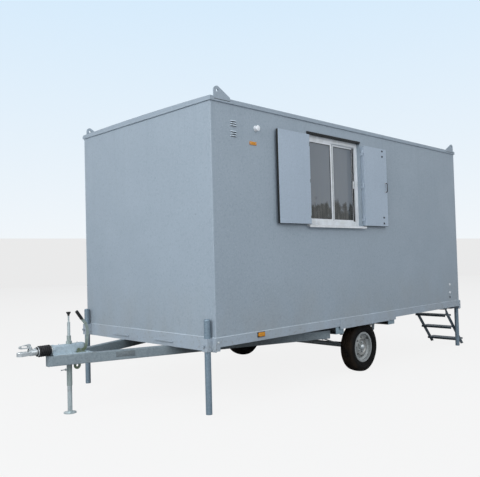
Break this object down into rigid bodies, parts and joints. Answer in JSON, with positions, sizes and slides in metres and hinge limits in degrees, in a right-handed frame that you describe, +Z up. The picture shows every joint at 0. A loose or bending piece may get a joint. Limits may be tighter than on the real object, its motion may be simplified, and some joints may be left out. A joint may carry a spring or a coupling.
{
  "type": "portable site cabin",
  "caption": "Portable steel site cabin on a single axle drawbar chassis, with a shuttered window, lifting eyes, corner legs and rear steps.",
  "frame": {"origin": "on the ground, at the middle of the overall length and width", "axes": "+X from the tow end to the step end, the window side faces -Y, +Z up"},
  "size_m": [6.68, 2.399, 3.0599],
  "materials": {
    "painted_steel": "satin",
    "galvanised_steel": "matte",
    "zinc_plate": "satin",
    "white_aluminium": "satin",
    "window_glass": "gloss",
    "floor_board": "matte",
    "tyre_rubber": "matte",
    "gaiter_rubber": "matte",
    "black_plastic": "matte",
    "amber_plastic": "gloss",
    "bare_steel": "satin"
  },
  "bodies": {
    "cabin": {"floor": "floor_board", "front_wall": "painted_steel", "far_side_wall": "painted_steel", "window_side_wall": "painted_steel", "rear_wall": "painted_steel", "roof_panel": "painted_steel", "roof_cap": "painted_steel", "lifting_eyes": "painted_steel", "side_rail_window": "painted_steel", "side_rail_far": "painted_steel", "front_rail": "painted_steel", "rear_rail": "painted_steel", "floor_joists": "painted_steel", "cross_member_front": "galvanised_steel", "cross_member_rear": "galvanised_steel", "leaf_springs": "bare_steel", "axle_beam": "galvanised_steel", "drawbar_beam_window": "galvanised_steel", "drawbar_beam_far": "galvanised_steel", "drawbar_nose": "galvanised_steel", "overrun_housing": "galvanised_steel", "gaiter": "gaiter_rubber", "prop_guide": "zinc_plate", "handbrake_bracket": "bare_steel", "leg_sockets": "painted_steel", "window_frame": "white_aluminium", "window_sashes": "white_aluminium", "window_glass": "window_glass", "window_sill": "white_aluminium", "shutter_hinges": "painted_steel", "door_handle": "zinc_plate", "door_frame": "painted_steel", "door_leaf": "painted_steel", "louvre_vents": "painted_steel", "pipe_outlet": "zinc_plate", "side_reflector": "amber_plastic", "side_lamp": "amber_plastic", "step_bearer": "painted_steel", "step_stringers": "galvanised_steel", "step_treads": "galvanised_steel"},
    "wheel_window": {"tyre_window": "tyre_rubber", "rim_window": "galvanised_steel", "hub_window": "zinc_plate"},
    "wheel_far": {"tyre_far": "tyre_rubber", "rim_far": "galvanised_steel", "hub_far": "zinc_plate"},
    "coupling": {"coupling_head": "zinc_plate"},
    "handle": {"coupling_handle": "zinc_plate"},
    "prop": {"prop_leg": "zinc_plate", "prop_knob": "black_plastic"},
    "handbrake": {"handbrake_lever": "bare_steel", "handbrake_grip": "black_plastic"},
    "leg_fw": {"leg_front_window": "galvanised_steel"},
    "leg_ff": {"leg_front_far": "galvanised_steel"},
    "leg_rw": {"leg_rear_window": "galvanised_steel"},
    "leg_rf": {"leg_rear_far": "galvanised_steel"},
    "left_shutter": {"shutter_left": "painted_steel"},
    "right_shutter": {"shutter_right": "painted_steel", "shutter_pull": "zinc_plate"}
  },
  "joints": [
    {"name": "shutter_left_hinge", "type": "hinge", "parent": "cabin", "child": "left_shutter", "pos_m": [-0.5625, -1.175, 1.78], "axis": [0, 0, 1], "range_deg": [0, 180]},
    {"name": "shutter_right_hinge", "type": "hinge", "parent": "cabin", "child": "right_shutter", "pos_m": [0.4825, -1.175, 1.78], "axis": [0, 0, -1], "range_deg": [0, 180]},
    {"name": "wheel_window_spin", "type": "hinge", "parent": "cabin", "child": "wheel_window", "pos_m": [0.52, -1.012, 0.298], "axis": [0, 1, 0], "continuous": true},
    {"name": "wheel_far_spin", "type": "hinge", "parent": "cabin", "child": "wheel_far", "pos_m": [0.52, 1.012, 0.298], "axis": [0, 1, 0], "continuous": true},
    {"name": "overrun_slide", "type": "slide", "parent": "cabin", "child": "coupling", "axis": [1, 0, 0], "range_m": [0, 0.07], "deforming": ["gaiter"]},
    {"name": "coupling_handle_hinge", "type": "hinge", "parent": "coupling", "child": "handle", "pos_m": [-3.217, 0, 0.668], "axis": [0, 1, 0], "range_deg": [0, 35]},
    {"name": "handbrake_hinge", "type": "hinge", "parent": "cabin", "child": "handbrake", "pos_m": [-2.754, -0.052, 0.592], "axis": [0, -1, 0], "range_deg": [0, 65]},
    {"name": "prop_slide", "type": "slide", "parent": "cabin", "child": "prop", "axis": [0, 0, 1], "range_m": [0, 0.2]},
    {"name": "leg_front_window_slide", "type": "slide", "parent": "cabin", "child": "leg_fw", "axis": [0, 0, 1], "range_m": [0, 0.25]},
    {"name": "leg_front_far_slide", "type": "slide", "parent": "cabin", "child": "leg_ff", "axis": [0, 0, 1], "range_m": [0, 0.25]},
    {"name": "leg_rear_window_slide", "type": "slide", "parent": "cabin", "child": "leg_rw", "axis": [0, 0, 1], "range_m": [0, 0.25]},
    {"name": "leg_rear_far_slide", "type": "slide", "parent": "cabin", "child": "leg_rf", "axis": [0, 0, 1], "range_m": [0, 0.25]}
  ]
}
